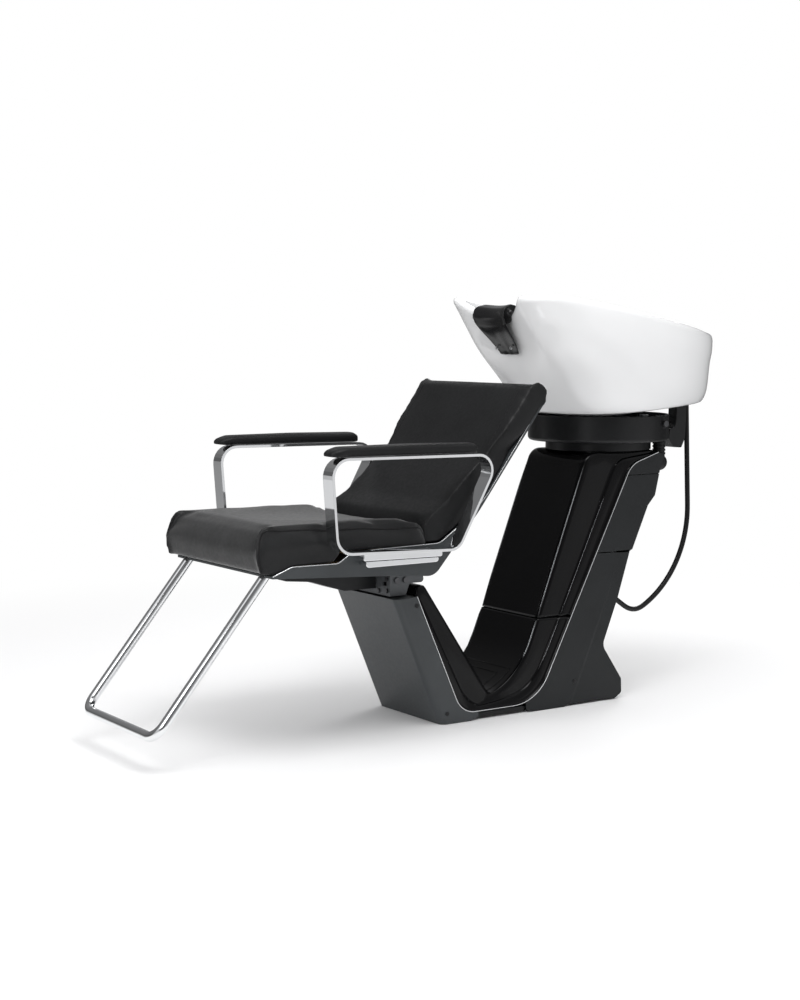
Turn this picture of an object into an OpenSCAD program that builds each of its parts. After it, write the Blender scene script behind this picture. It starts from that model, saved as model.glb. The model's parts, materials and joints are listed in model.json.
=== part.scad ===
// Salon backwash unit: reclined chair on a V-shaped pedestal with a tilting wash basin.
// X is the width, Y runs from the leg rest (minus) to the basin (plus), Z is up.
// The origin is on the floor, on the centre line, under the front edge of the pedestal.

/* [Pedestal] */
// Overall width over the side panels
base_w = 268; // [266:1:276]
// Thickness of the moulded panels
skin = 3; // [2.5:0.5:3]
// Half width of the raised gloss black shell
pod_x = 118; // [116:1:119]
// Height of the seam across the black column
shell_seam = 222; // [210:1:240]
// Height of the seam across the rear side panels
panel_seam = 371; // [368:1:373]
// Diameter of a floor anchor hole
anchor_d = 11; // [9:0.5:13]

/* [Collar and basin] */
// Outer radius of the drum under the basin
collar_r = 178; // [176:1:180]
// Height of the top edge of the drum
collar_top = 706; // [704:1:707]
// Half width of the basin
basin_a = 250; // [240:1:255]
// Height of the basin horns above the floor
horn_z = 998; // [990:1:1002]
// Diameter of the tilt pivot bolt
pivot_d = 8; // [8:1:10]

/* [Chair] */
// Half width of the seat cushion
seat_x = 222; // [216:1:224]
// Half width of the top of the back cushion
back_x = 236; // [224:1:238]
// Distance from the centre line to the middle of an armrest bar
arm_x = 250.5; // [250:0.5:252]
// Width of the armrest flat bar
arm_w = 39; // [30:1:39]
// Thickness of the armrest flat bar
arm_t = 6; // [6:1:9]
// Half distance between the two leg rest tubes
leg_x = 177; // [165:1:180]
// Diameter of the leg rest tube
leg_d = 22; // [20:1:22]

/* [Hidden] */
$fn = 48;
bx = base_w / 2;

// ---- plane geometry helpers ----
function _u(v) = v / norm(v);
function _corner(a, b, c, r, n) = r <= 0 ? [[b[0], b[1]]] :
  let (p0 = [a[0], a[1]], p1 = [b[0], b[1]], p2 = [c[0], c[1]], u = _u(p0 - p1), w = _u(p2 - p1),
       h = acos(u * w) / 2, t = r / tan(h), m = p1 + _u(u + w) * (r / sin(h)), s = p1 + u * t, e = p1 + w * t,
       a0 = atan2(s[1] - m[1], s[0] - m[0]), a1 = atan2(e[1] - m[1], e[0] - m[0]),
       d0 = a1 - a0, d = d0 > 180 ? d0 - 360 : d0 < -180 ? d0 + 360 : d0)
  [for (k = [0:n]) m + r * [cos(a0 + d * k / n), sin(a0 + d * k / n)]];
// open line through corner points [y, z, radius]
function line(p, n = 8) = [for (i = [0:len(p) - 1]) each (i == 0 || i == len(p) - 1 ? [[p[i][0], p[i][1]]] : _corner(p[i - 1], p[i], p[i + 1], p[i][2], n))];
// closed outline through corner points [y, z, radius]
function loop(p, n = 6) = [for (i = [0:len(p) - 1]) each _corner(p[(i + len(p) - 1) % len(p)], p[i], p[(i + 1) % len(p)], p[i][2], n)];
function rev(p) = [for (i = [len(p) - 1:-1:0]) p[i]];
// the same line moved to its left by d
function shift(p, d) = [for (i = [0:len(p) - 1]) let (t = _u(p[min(i + 1, len(p) - 1)] - p[max(i - 1, 0)])) p[i] + d * [-t[1], t[0]]];
function band(p, d) = concat(p, rev(shift(p, d)));
// closed corner list moved inwards by d (corners run anticlockwise)
function inset(p, d) = [for (i = [0:len(p) - 1]) let (a = p[(i + len(p) - 1) % len(p)], b = p[i], c = p[(i + 1) % len(p)],
  u = _u([b[0] - a[0], b[1] - a[1]]), w = _u([c[0] - b[0], c[1] - b[1]]), m = [-u[1], u[0]], q = [-w[1], w[0]],
  s = (m + q) / (1 + m * q)) [b[0] + d * s[0], b[1] + d * s[1], max(b[2] - d, 0)]];
// side profile drawn in Y and Z, given thickness from x0 to x1
module prof(x0, x1) translate([x0, 0, 0]) rotate([90, 0, 90]) linear_extrude(x1 - x0) children();
module both() { children(); mirror([1, 0, 0]) children(); }
module rod(a, b, r) { d = b - a; l = norm(d); translate(a) rotate([0, acos(d[2] / l), atan2(d[1], d[0])]) cylinder(r = r, h = l); }
module hose(p, r) { for (i = [0:len(p) - 2]) rod(p[i], p[i + 1], r); for (i = [1:len(p) - 2]) translate(p[i]) sphere(r = r + 0.5, $fn = 24); }
module hex(af, h) cylinder(d = af / cos(30), h = h, $fn = 6);

// ---- guiding lines of the pedestal ----
function trim_y(z) = 325 + (z - 107) * 0.5192;
function col_y(z) = 298 + (z - 234) / 2.576;
trim_low = line([[-69, 301, 0], [55, 20, 60], [280, 20, 117], [trim_y(shell_seam - 1.5), shell_seam - 1.5, 0]], 10);
trim_up = line([[trim_y(shell_seam + 1.5), shell_seam + 1.5, 0], [572, 584, 60], [662, 612, 0]], 10);
pod_c = [85.6, 242.4];
pod_low = concat(line([[-64, 303, 0], [-60, 331, 6], [-38, 331, 12], [148, 57, 0]], 5),
  [for (a = [-70:7:-21]) pod_c + 200 * [cos(a), sin(a)]], [[col_y(shell_seam - 1.5), shell_seam - 1.5]]);
pod_up = line([[col_y(shell_seam + 1.5), shell_seam + 1.5, 0], [447, 618, 38], [656, 618, 8], [676, 607, 0]], 8);
rear_line = line([[681, 604, 0], [665, 567, 30], [650, 505, 8], [627, 481, 8], [577, 373, 3], [569, 366, 3], [532, 254, 60], [485, 140, 26], [548, 50, 8], [549, 14, 10], [526, 1, 0]], 5);

// ---- pedestal ----
module base_frame() color("#26282a") difference() {
  union() {
    translate([-118, 22, 4]) cube([236, 480, 8]);
    prof(-55, 55) polygon([[22, 11], [78, 11], [-46, 301], [-100, 301]]);
    prof(-55, 55) polygon([[330, 11], [395, 11], [570, 601], [515, 601]]);
    translate([-95, -116, 292]) cube([190, 60, 9]);
    translate([-100, 470, 600]) cube([200, 180, 13]);
    both() prof(88, 94) polygon([[330, 11], [430, 11], [400, 50], [350, 50]]);
    both() prof(54, 89) polygon([[340, 11], [395, 11], [395, 17], [340, 17]]);
  }
  prof(-51, 51) polygon([[28, 12], [70, 12], [-48, 291], [-96, 291]]);
  prof(-51, 51) polygon([[336, 12], [389, 12], [565, 599], [520, 599]]);
  for (x = [-100, 100], y = [60, 460]) translate([x, y, 3]) cylinder(d = anchor_d, h = 10);
  for (x = [-75, 75]) translate([x, -100, 290]) cylinder(d = 8.5, h = 14);
  for (x = [-70, 70], y = [500, 630]) translate([x, y, 598]) cylinder(d = 8.5, h = 17);
  // service opening under the drum and outlet for the water hoses
  translate([0, 575, 590]) cylinder(r = 50, h = 40);
  translate([-50, 380, 96]) cube([46, 60, 40]);
}
module levelling_feet() color("#111111") for (x = [-100, 100], y = [35, 490]) translate([x, y, 0]) cylinder(r = 9, h = 4);
module floor_pan() color("#151618") difference() {
  prof(-128, 128) polygon([[106, 4], [244, 4], [244, 15.5], [106, 15.5]]);
  translate([-124, 100, 3]) cube([248, 150, 9.5]);
}
lean = atan(128 / 305);
module lean_box(x, y0, r) rotate([lean, 0, 0]) translate([0, 0, -60]) linear_extrude(460) polygon(line([[-x, 400, 0], [-x, y0, r], [x, y0, r], [x, 400, 0]], 6));
module front_cover() color("#4a4f53") difference() {
  intersection() {
    prof(-bx, bx) polygon(concat(line([[-72, 308, 0], [55, 20, 60], [104, 20, 0]], 10), [[104, 5], [94, 5], [82, 0], [-1.5, 0], [-129.5, 305]]));
    lean_box(bx, -1.4, 16);
  }
  intersection() {
    prof(skin - bx, bx - skin) polygon([[3.7, -1], [-123.6, 302], [-40, 302], [180, 40], [180, -1]]);
    lean_box(bx - skin, skin, 16 - skin);
  }
  for (x = [-75, 75]) translate([x, -100, 290]) cylinder(d = 9, h = 20);
  translate([-45, -108, 298]) cube([90, 18, 20]);
}
module side_panel() color("#33373a") prof(bx - skin, bx) polygon(concat(
  [for (p = line([[150, 20, 0], [280, 20, 117], [trim_y(panel_seam), panel_seam, 0]], 12)) if (p[0] >= 244) p],
  [for (p = rear_line) if (p[1] < panel_seam) p], [[490, 5], [375, 5], [364, 0], [277, 0], [249, 4]]));
module side_panel_left() side_panel();
module side_panel_right() mirror([1, 0, 0]) side_panel();
module upper_panel() color("#33373a") prof(bx - skin, bx) polygon(concat(
  [[trim_y(panel_seam + 1.5), panel_seam + 1.5]], [for (p = trim_up) if (p[1] > panel_seam + 2 && p[1] < 558) p], [[trim_y(558), 558]],
  [[663, 558]], [for (p = rear_line) if (p[1] < 555 && p[1] > panel_seam + 2) p], [[576.5, panel_seam + 1.5]]));
module upper_panel_left() upper_panel();
module upper_panel_right() mirror([1, 0, 0]) upper_panel();
module head_panel() color("#2c2f32") prof(bx - skin, bx) polygon(concat([[trim_y(559.5), 559.5]], [for (p = trim_up) if (p[1] > 561) p], [for (p = rear_line) if (p[1] > 562) p], [[663.4, 559.5]]));
module head_panel_left() head_panel();
module head_panel_right() mirror([1, 0, 0]) head_panel();
module rear_cover() color("#2c2f32") difference() {
  prof(skin - bx + 0.2, bx - skin - 0.2) polygon(band(rear_line, -skin));
  translate([88, 640, 583]) rotate([-90, 0, 0]) cylinder(r = 22, h = 60);
  translate([-85, 500, 75]) rotate([-90, 0, 0]) cylinder(r = 22, h = 60);
  for (x = supply_x) translate([x, 480, 112]) rotate([-90, 0, 0]) cylinder(r = 12, h = 60);
  translate([hose_x, hose_end[0], hose_end[1]]) rotate([55, 0, 0]) cylinder(r = 9, h = 160);
}
module shell(pod, trim) color("#0c0d0e") {
  difference() {
    prof(-pod_x, pod_x) polygon(band(pod, -4));
    translate([0, 575, 600]) cylinder(r = 50, h = 40);
    for (x = [-70, 70], y = [500, 630]) translate([x, y, 598]) cylinder(d = 9, h = 25);
  }
  both() prof(pod_x - 4, pod_x) polygon(concat(pod, rev(shift(trim, -4))));
  both() prof(pod_x - 1, bx - skin - 0.3) polygon(band(trim, -4));
}
module inner_shell_lower() shell(pod_low, trim_low);
module inner_shell_upper() shell(pod_up, trim_up);
module trim_strip() color("#d5d8da") {
  prof(bx - 2.8, bx + 0.8) polygon(band(shift(line([[-72, 308, 0], [55, 20, 60], [280, 20, 117], [572, 584, 60], [660, 611.4, 0]], 12), 0.3), 1.5));
}
module trim_strip_left() trim_strip();
module trim_strip_right() mirror([1, 0, 0]) trim_strip();
module panel_plugs() color("#1c1e20") both() for (p = [[-72, 287], [14, 25], [395, 60]]) translate([bx + 0.1, p[0], p[1]]) rotate([0, 90, 0]) cylinder(r = 5, h = 1.4);

// ---- collar and plumbing ----
cy = 575;
supply_x = [-12, -34];
module basin_collar() color("#141517") difference() {
  union() {
    translate([0, cy, 0]) rotate_extrude($fn = 96) polygon(concat([[127, 640]], _corner([127, 640], [collar_r, 640], [collar_r, 700], 10, 6),
      [[collar_r, collar_top - 2], [collar_r - 2, collar_top], [collar_r - 4, collar_top], [collar_r - 4, 651], [collar_r - 11, 644], [133, 644], [133, 640.2]]));
    translate([0, cy, 0]) rotate_extrude($fn = 64) polygon([[70, 618.5], [133, 618.5], [133, 644], [127, 644], [127, 623], [70, 623]]);
    both() translate([152.5, 652, 685]) rotate([0, 90, 0]) cylinder(r = 13, h = 9);
  }
  both() translate([138, 652, 685]) rotate([0, 90, 0]) cylinder(r = 14.5, h = 14.5);
  both() translate([140, 652, 685]) rotate([0, 90, 0]) cylinder(d = pivot_d + 0.1, h = 40);
  translate([88, 702, 630]) cylinder(r = 18, h = 20);
  for (x = [-70, 70], y = [500, 630]) translate([x, y, 610]) cylinder(d = 8.5, h = 20);
}
module collar_bolts() color("#8f9498") for (x = [-70, 70], y = [500, 630]) translate([x, y, 0]) { translate([0, 0, 585]) cylinder(d = 8, h = 38.2); translate([0, 0, 623.2]) hex(13, 6); translate([0, 0, 592]) hex(13, 7); }
module drain_elbow() color("#17181a") {
  for (i = [0:3]) translate([88, 702, 603 + i * 9]) cylinder(r = 16.5, h = 5);
  translate([88, 702, 596]) cylinder(r = 14.5, h = 46);
  translate([88, 702, 583]) sphere(r = 21);
  translate([88, 655, 583]) rotate([-90, 0, 0]) cylinder(r = 16.4, h = 49);
}
module waste_pipe() color("#8d9194") {
  hose([[88, 654.5, 583], [88, 638, 583], [95, 430, 110], [95, 455, 80], [-85, 455, 75], [-85, 550, 75]], 15);
  translate([-85, 545, 75]) rotate([-90, 0, 0]) cylinder(r = 20, h = 45);
}
module waste_hose() color("#202224") { hose([[0, cy, 664], [88, 702, 664], [88, 702, 643]], 12); translate([0, cy, 652]) cylinder(r = 22, h = 23.6); }
module supply_hoses() color("#9aa0a4") for (x = supply_x) {
  hose([[x, 560, 645], [x, 556, 598], [x, 386, 118], [x, 480, 112], [x, 540, 112]], 6);
  translate([x, 532, 112]) rotate([-90, 0, 0]) cylinder(r = 10, h = 28);
}
module bend(x, c, r, a0, a1, t) translate([x, c[0], c[1]]) rotate([90, 0, 90]) rotate([0, 0, a0]) rotate_extrude(angle = a1 - a0, $fn = 72) translate([r, 0]) circle(r = t, $fn = 24);
hose_x = 40;
hose_end = [670.6 + 58 * cos(-125), 259 + 58 * sin(-125)];
// a short sleeve at angle a of an arc joins two lengths of hose
module sleeve(c, r, a) translate([hose_x, c[0] + r * cos(a), c[1] + r * sin(a)]) rotate([a, 0, 0]) translate([0, 0, -4]) cylinder(r = 7.2, h = 8, $fn = 24);
module shower_hose() color("#17181a") {
  translate([hose_x, 838, 728]) rotate([180 + 2.1, 0, 0]) cylinder(r = 6.5, h = 264.2, $fn = 24);
  bend(hose_x, [574, 453], 274, -63.3, 1.9, 6.5);
  bend(hose_x, [670.6, 259], 58, -124, -64.5, 6.5);
  translate([hose_x, hose_end[0], hose_end[1]]) rotate([55, 0, 0]) translate([0, 0, 1]) cylinder(r = 6.5, h = 140, $fn = 24);
  sleeve([574, 453], 274, 2.1);
  sleeve([574, 453], 274, -63.5);
  sleeve([670.6, 259], 58, -125);
}

// ---- seat carrier ----
module seat_bracket() color("#6d7276") difference() {
  union() {
    prof(-104, 104) polygon([[-126, 309], [-122, 309], [-122, 357], [-70, 357], [-70, 361], [-126, 361]]);
    prof(-104, 104) polygon([[-122, 309], [-82, 309], [-82, 312], [-122, 312]]);
    both() prof(100, 104) polygon(loop([[-126, 309, 2], [-82, 309, 4], [-72, 336, 4], [-30, 336, 8], [-38, 361, 14], [-126, 361, 2]], 4));
  }
  for (x = [-75, 75]) translate([x, -100, 300]) cylinder(d = 8.5, h = 20);
  for (x = [-82, 82]) translate([x - 8, -130, 331]) cube([16, 12, 10]);
  for (y = [-108, -84]) both() translate([95, y, 345]) rotate([0, 90, 0]) cylinder(d = 8.5, h = 20);
}
module bracket_bolts() color("#9ea3a7") {
  for (x = [-75, 75]) translate([x, -100, 0]) { translate([0, 0, 284]) cylinder(d = 8, h = 28.3); translate([0, 0, 312.3]) hex(13, 5.5); }
  both() for (y = [-108, -84]) translate([96, y, 345]) rotate([0, 90, 0]) { cylinder(d = 8, h = 8.3); translate([0, 0, 8.3]) hex(13, 4); }
  both() for (p = [[93, 348], [92, 321], [58, 318]]) translate([p[0], -126.2, p[1]]) rotate([90, 0, 0]) hex(10, 4);
}
module seat_beam() color("#161719") difference() {
  prof(-45, 45) polygon([[-365, 361], [-365, 356], [-302, 350], [-212, 322], [-126.5, 322], [-126.5, 361]]);
  prof(-41, 41) polygon([[-350, 357], [-302, 354], [-212, 326], [-130, 326], [-130, 357]]);
}
module seat_rails() color("#c3c7ca") both() prof(24, 42) polygon([[-365, 361.3], [-45, 361.3], [-45, 367], [-365, 367]]);
module seat_carriage() color("#303336") difference() {
  prof(-60, 60) polygon([[-330, 362.3], [-205, 362.3], [-205, 375.8], [-330, 382.4]]);
  both() prof(23.6, 42.4) polygon([[-340, 360], [-190, 360], [-190, 367.4], [-340, 367.4]]);
}

// ---- chair ----
shell_top = line([[-500, 397, 0], [-452, 415, 14], [-337, 414, 14], [-300, 437, 14], [-70, 441, 40], [12, 495, 60], [63, 545, 200], [217, 748, 0]], 5);
shell_rear = line([[-500, 392, 0], [-190, 376, 0], [-84, 367, 40], [43, 511, 500], [226, 748, 0]], 8);
module chair_shell() color("#33373a") difference() {
  prof(-seat_x, seat_x) polygon(concat(shell_rear, rev(shell_top)));
  prof(5 - seat_x, seat_x - 5) polygon([[-470, 398], [-190, 384], [-95, 377], [-74, 388], [0, 470], [0, 500], [-70, 460], [-470, 460]]);
  for (x = [-40, 40], y = [-310, -225]) translate([x, y, 360]) cylinder(d = 6.5, h = 40);
  both() translate([leg_x - 18.5, -512, 399.5]) cube([37, 68.5, 40]);
  both() rod([leg_x, -494, 392] - leg_dir * 30, leg_top, leg_d / 2 + 1.5);
}
module seat_board() color("#b08d5b") both() translate([0, 0, 0]) prof(0, seat_x - 8) polygon([[-442, 403.5], [-104, 403.5], [-104, 412.5], [-442, 412.5]]);
module seat_cushion() color("#2b2d2f") difference() {
  prof(-seat_x - 1, seat_x + 1) polygon(concat(loop([[-517, 403, 6], [-530, 450, 60], [-526, 499, 20], [-108, 479, 10], [-106, 443.5, 4], [-300, 440.5, 14], [-337, 417, 14], [-452, 418.5, 14], [-500, 403, 0]], 5)));
  both() translate([leg_x - 20, -520, 400]) cube([40, 78, 38]);
}
module back_cushion() color("#2b2d2f") difference() {
  intersection() {
    prof(-back_x, back_x) polygon(loop([[-102, 484, 8], [-40, 524, 60], [80, 634, 150], [198, 800, 14], [228, 786, 10], [219, 756, 6], [61, 547, 200], [10, 498, 60], [-62, 445, 4], [-100, 446, 4]], 5));
    translate([0, 400, 0]) rotate([90, 0, 0]) linear_extrude(700) polygon([[-seat_x, 400], [seat_x, 400], [seat_x, 650], [back_x, 700], [back_x, 820], [-back_x, 820], [-back_x, 700], [-seat_x, 650]]);
  }
  prof(-back_x - 2, back_x + 2) polygon(concat(shell_rear, rev(shift(shell_top, 1))));
}
// guide line of the bar: its outer face runs 4.5 mm outside this
arm_mid = [[-52, 431, 34], [63, 636, 34], [-379, 641, 38], [-364, 441, 38]];
module arm() color("#d9dcde") difference() {
  prof(arm_x - arm_w / 2, arm_x + arm_w / 2) difference() { polygon(loop(inset(arm_mid, -4.5), 8)); polygon(loop(inset(arm_mid, arm_t - 4.5), 8)); }
  for (y = [-260, -115]) translate([arm_x - 12, y, 415]) cylinder(d = 6.5, h = 40);
}
module arm_left() arm();
module arm_right() mirror([1, 0, 0]) arm();
module arm_pad() color("#1b1c1e") prof(arm_x - 28, arm_x + 28) polygon(loop([[-366, 646.2, 4], [2, 642, 4], [4, 658, 8], [-12, 667, 8], [-350, 670, 10], [-384, 657, 8], [-382, 647, 3]], 5));
module arm_pad_left() arm_pad();
module arm_pad_right() mirror([1, 0, 0]) arm_pad();
module arm_bracket() color("#cfd3d6") difference() {
  prof(seat_x + 0.3, 254) polygon([[-292, 403], [-84, 403], [-84, 427.2], [-292, 434]]);
  prof(seat_x + 5, 250) polygon([[-286, 401], [-90, 401], [-90, 420], [-286, 420]]);
  // step along the outer face
  prof(251.5, 256) polygon([[-300, 402], [-80, 402], [-80, 414.5], [-300, 417.5]]);
  for (y = [-260, -115]) translate([arm_x - 12, y, 400]) cylinder(d = 6.5, h = 40);
}
module arm_bracket_left() arm_bracket();
module arm_bracket_right() mirror([1, 0, 0]) arm_bracket();
module arm_screws() color("#9ea3a7") both() for (y = [-260, -115]) translate([arm_x - 12, y, 0]) { translate([0, 0, 413]) cylinder(d = 6, h = y < -200 ? 23 : 19); translate([0, 0, 408]) cylinder(r = 5, h = 11.8); }
leg_dir = _u([0, 262, 319]);
leg_top = [leg_x, -494, 392] + leg_dir * 38;
leg_low = [leg_x, -756, 73];
leg_r = 34;
leg_a = acos(leg_dir[2]);
module footrest() color("#d9dcde") translate([0, leg_low[1], leg_low[2]]) rotate([-leg_a, 0, 0]) {
  both() translate([leg_x, 0, leg_r]) cylinder(d = leg_d, h = norm(leg_top - leg_low) - leg_r);
  both() translate([leg_x - leg_r, 0, leg_r]) rotate([90, 0, 0]) rotate([0, 0, -90]) rotate_extrude(angle = 90) translate([leg_r, 0]) circle(d = leg_d);
  translate([leg_r - leg_x, 0, 0]) rotate([0, 90, 0]) cylinder(d = leg_d, h = 2 * (leg_x - leg_r));
}
module footrest_sockets() color("#3a3e41") both() difference() {
  translate([leg_x - 17, -506, 403.5]) cube([34, 60, 25]);
  rod([leg_x, -494, 392] - leg_dir * 20, leg_top + leg_dir * 0.6, leg_d / 2 + 0.05);
  translate([leg_x, -470, 418]) rotate([-90, 0, 0]) cylinder(d = 8, h = 40);
}
module socket_screws() color("#9ea3a7") both() translate([leg_x, -454, 418]) rotate([-90, 0, 0]) cylinder(d = 7.9, h = 9);

// ---- basin, lofted through rounded rings ----
NB = 48;
by = 520;
function sgn(v) = v < 0 ? -1 : 1;
function ease(t) = let (c = min(max(t, 0), 1)) c * c * (3 - 2 * c);
notch_x = 127;
// scoop of the neck notch between the two horns
function scoop(x) = abs(x) < notch_x ? 1 - pow(x / notch_x, 2) : 0;
function rim_z(x, y) = horn_z - 0.19 * (sqrt(pow(max(y - 270, 0), 2) + 900) - 30) + 6 * ease((y - 740) / 90) - (y < 330 ? 53 * scoop(x) : 0);
// ring(half width, front y, rear y, exponent, z at front, z at rear, scoop depth, drop below the rim or -1, length over which z changes)
function ring(a, f, r, n, zf, zr, sc = 0, drop = -1, run = 0) = [for (k = [0:NB - 1]) let (t = 360 * k / NB, c = cos(t), s = sin(t),
  x = a * sgn(s) * pow(abs(s), 2 / n), m = (f + r) / 2, my = a < 60 ? m : by * 0.5 + m * 0.5,
  y = my + (c < 0 ? (my - f) : (r - my)) * sgn(c) * pow(abs(c), 2 / n) + (c < 0 ? sc * scoop(x) : 0),
  w = ease((y - f) / (run > 0 ? run : r - f))) [x, y, drop >= 0 ? rim_z(x * 250 / a, y) - drop : zf + (zr - zf) * w]];
basin_rings = [
  ring(basin_a - 9, 200, 847, 2.6, 0, 0, 73, 0),
  ring(basin_a - 2, 192, 855, 2.6, 0, 0, 73, 4),
  ring(basin_a, 194, 857, 2.6, 0, 0, 72, 14),
  ring(basin_a - 1, 216, 855, 2.6, 0, 0, 64, 45),
  ring(basin_a - 9, 268, 850, 2.6, 872, 830, 32),
  ring(basin_a - 24, 340, 852, 2.5, 790, 765),
  ring(basin_a - 42, 388, 846, 2.4, 722, 736),
  ring(basin_a - 52, 398, 838, 2.3, 711, 733),
  // hollow between the skirt and the bowl
  ring(basin_a - 64, 404, 826, 2.3, 712, 735),
  ring(basin_a - 33, 402, 838, 2.5, 719, 826, run = 120),
  ring(basin_a - 37, 404, 756, 2.3, 720, 817, run = 120),
  ring(188, 408, 736, 2.2, 716, 756, run = 120),
  ring(158, 416, 731, 2, 711, 730),
  ring(144, 432, 714, 2, 700, 722),
  ring(31, 544, 606, 2, 700, 704),
  ring(31, 544, 606, 2, 722, 722),
  ring(114, 466, 684, 2, 728, 736),
  ring(178, 388, 716, 2.2, 758, 772),
  ring(214, 334, 732, 2.3, 818, 822),
  ring(230, 280, 748, 2.4, 880, 846, 30),
  ring(235, 226, 838, 2.6, 915, 846.5, 62),
  ring(basin_a - 14, 208, 843, 2.6, 0, 0, 73, 12),
  ring(basin_a - 13, 206, 844, 2.6, 0, 0, 73, 3)];
module basin() color("#f2f3f4") polyhedron(points = [for (r = basin_rings) each r],
  faces = [for (i = [0:len(basin_rings) - 1], k = [0:NB - 1]) let (j = (i + 1) % len(basin_rings), a = i * NB + k, b = i * NB + (k + 1) % NB, c = j * NB + (k + 1) % NB, d = j * NB + k) each [[a, c, b], [a, d, c]]]);
module neck_rest() color("#0e0f10") {
  prof(-50, 50) polygon(loop([[232, 946, 6], [238, 967, 9], [264, 974, 10], [288, 969, 6], [290, 956, 3], [250, 955.5, 2], [246, 930, 2], [237, 928, 3]], 4));
  prof(-38, 38) polygon([[239, 931], [246, 931], [251, 926], [296, 866], [294, 857], [289, 855], [281, 870]]);
}
module neck_rest_studs() color("#d9dcde") for (x = [-28, 28]) translate([x, 275.8, 873]) rotate([90, 0, 0]) cylinder(r = 4, h = 3);

// ---- tilt gear under the basin ----
module basin_cradle() color("#303336") difference() {
  union() {
    translate([-148, 636, 687]) cube([296, 26, 6]);
    both() translate([144, 652, 685]) rotate([0, 90, 0]) cylinder(r = 12, h = 4);
    translate([-40, 560, 687]) cube([80, 100, 6]);
  }
  translate([0, cy, 680]) cylinder(r = 27, h = 20);
  both() translate([140, 652, 685]) rotate([0, 90, 0]) cylinder(d = pivot_d + 0.04, h = 12);
  for (x = [-90, 90]) translate([x, 649, 680]) cylinder(d = 8.5, h = 20);
}
module cradle_bolts() color("#9ea3a7") for (x = [-90, 90]) translate([x, 649, 0]) { translate([0, 0, 686]) cylinder(d = 8, h = 16); translate([0, 0, 681.2]) hex(13, 5.6); translate([0, 0, 693.2]) cylinder(r = 11, h = 12); }
module pivot_bolts() color("#55595c") both() translate([0, 652, 685]) rotate([0, 90, 0]) { translate([0, 0, 144.2]) cylinder(d = pivot_d, h = 21); translate([0, 0, 165.2]) cylinder(r = 7.5, h = 5); }
module friction_washers() color("#e4e2d8") both() translate([148.3, 652, 685]) rotate([0, 90, 0]) difference() { cylinder(r = 12, h = 3.8); translate([0, 0, -1]) cylinder(d = pivot_d + 0.4, h = 6); }
module hose_bracket() color("#141517") prof(20, 52) polygon(loop([[796, 731.5, 2], [794, 690, 6], [790, 668, 12], [772, 664, 6], [768, 640, 8], [784, 616, 8], [812, 614, 6], [825, 640, 20], [828.5, 731.5, 2]], 5));
module drain_strainer() color("#cfd3d6") {
  difference() { translate([0, cy, 724]) cylinder(r = 38, h = 2); for (a = [0:45:315]) translate([22 * cos(a), cy + 22 * sin(a), 720]) cylinder(r = 4, h = 8); translate([0, cy, 720]) cylinder(r = 5, h = 8); }
  difference() { translate([0, cy, 676]) cylinder(r = 25, h = 48.4); translate([0, cy, 670]) cylinder(r = 21, h = 54); }
}

// ---- mixer and hand shower on the rear deck ----
module mixer_body() color("#d9dcde") { translate([-70, 786, 848]) cylinder(r = 24, h = 4); translate([-70, 786, 852]) cylinder(r = 20, h = 19.8); }
module mixer_cap() color("#d9dcde") difference() {
  translate([-70, 786, 872]) cylinder(r = 20, h = 14);
  translate([-74, 758, 876]) cube([8, 20, 14]);
  translate([-60, 772, 880]) rotate([0, -90, 0]) cylinder(d = 3.06, h = 20);
  translate([-92, 772, 880]) rotate([0, 90, 0]) cylinder(d = 3.06, h = 40);
}
module mixer_lever() color("#d9dcde") { translate([-73.5, 722, 878]) cube([7, 52, 4]); translate([-73.5, 718, 878]) cube([7, 8, 7]); translate([-80, 772, 880]) rotate([0, 90, 0]) cylinder(d = 3, h = 20); }
module shower_holder() color("#26282a") difference() {
  translate([4, 766, 848]) cube([36, 28, 15]);
  translate([0, 780, 872]) rotate([0, 90, 0]) cylinder(r = 13, h = 50);
}
module hand_shower() color("#17181a") {
  translate([-22, 780, 872]) rotate([0, 90, 0]) cylinder(r = 12, h = 100);
  translate([97, 780, 859]) cylinder(r = 25, h = 22);
  translate([97, 780, 855.5]) cylinder(r = 21, h = 4);
}

base_frame();
levelling_feet();
floor_pan();
front_cover();
side_panel_left();
side_panel_right();
upper_panel_left();
upper_panel_right();
head_panel_left();
head_panel_right();
rear_cover();
inner_shell_lower();
inner_shell_upper();
trim_strip_left();
trim_strip_right();
panel_plugs();
basin_collar();
collar_bolts();
drain_elbow();
waste_pipe();
waste_hose();
supply_hoses();
shower_hose();
seat_bracket();
bracket_bolts();
seat_beam();
seat_rails();
seat_carriage();
chair_shell();
seat_board();
seat_cushion();
back_cushion();
arm_left();
arm_right();
arm_pad_left();
arm_pad_right();
arm_bracket_left();
arm_bracket_right();
arm_screws();
footrest();
footrest_sockets();
socket_screws();
basin();
neck_rest();
neck_rest_studs();
basin_cradle();
cradle_bolts();
pivot_bolts();
friction_washers();
hose_bracket();
drain_strainer();
mixer_body();
mixer_cap();
mixer_lever();
shower_holder();
hand_shower();
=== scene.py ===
import bpy, bmesh, json, math
import numpy as np
from mathutils import Vector, Matrix
from mathutils.bvhtree import BVHTree


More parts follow.
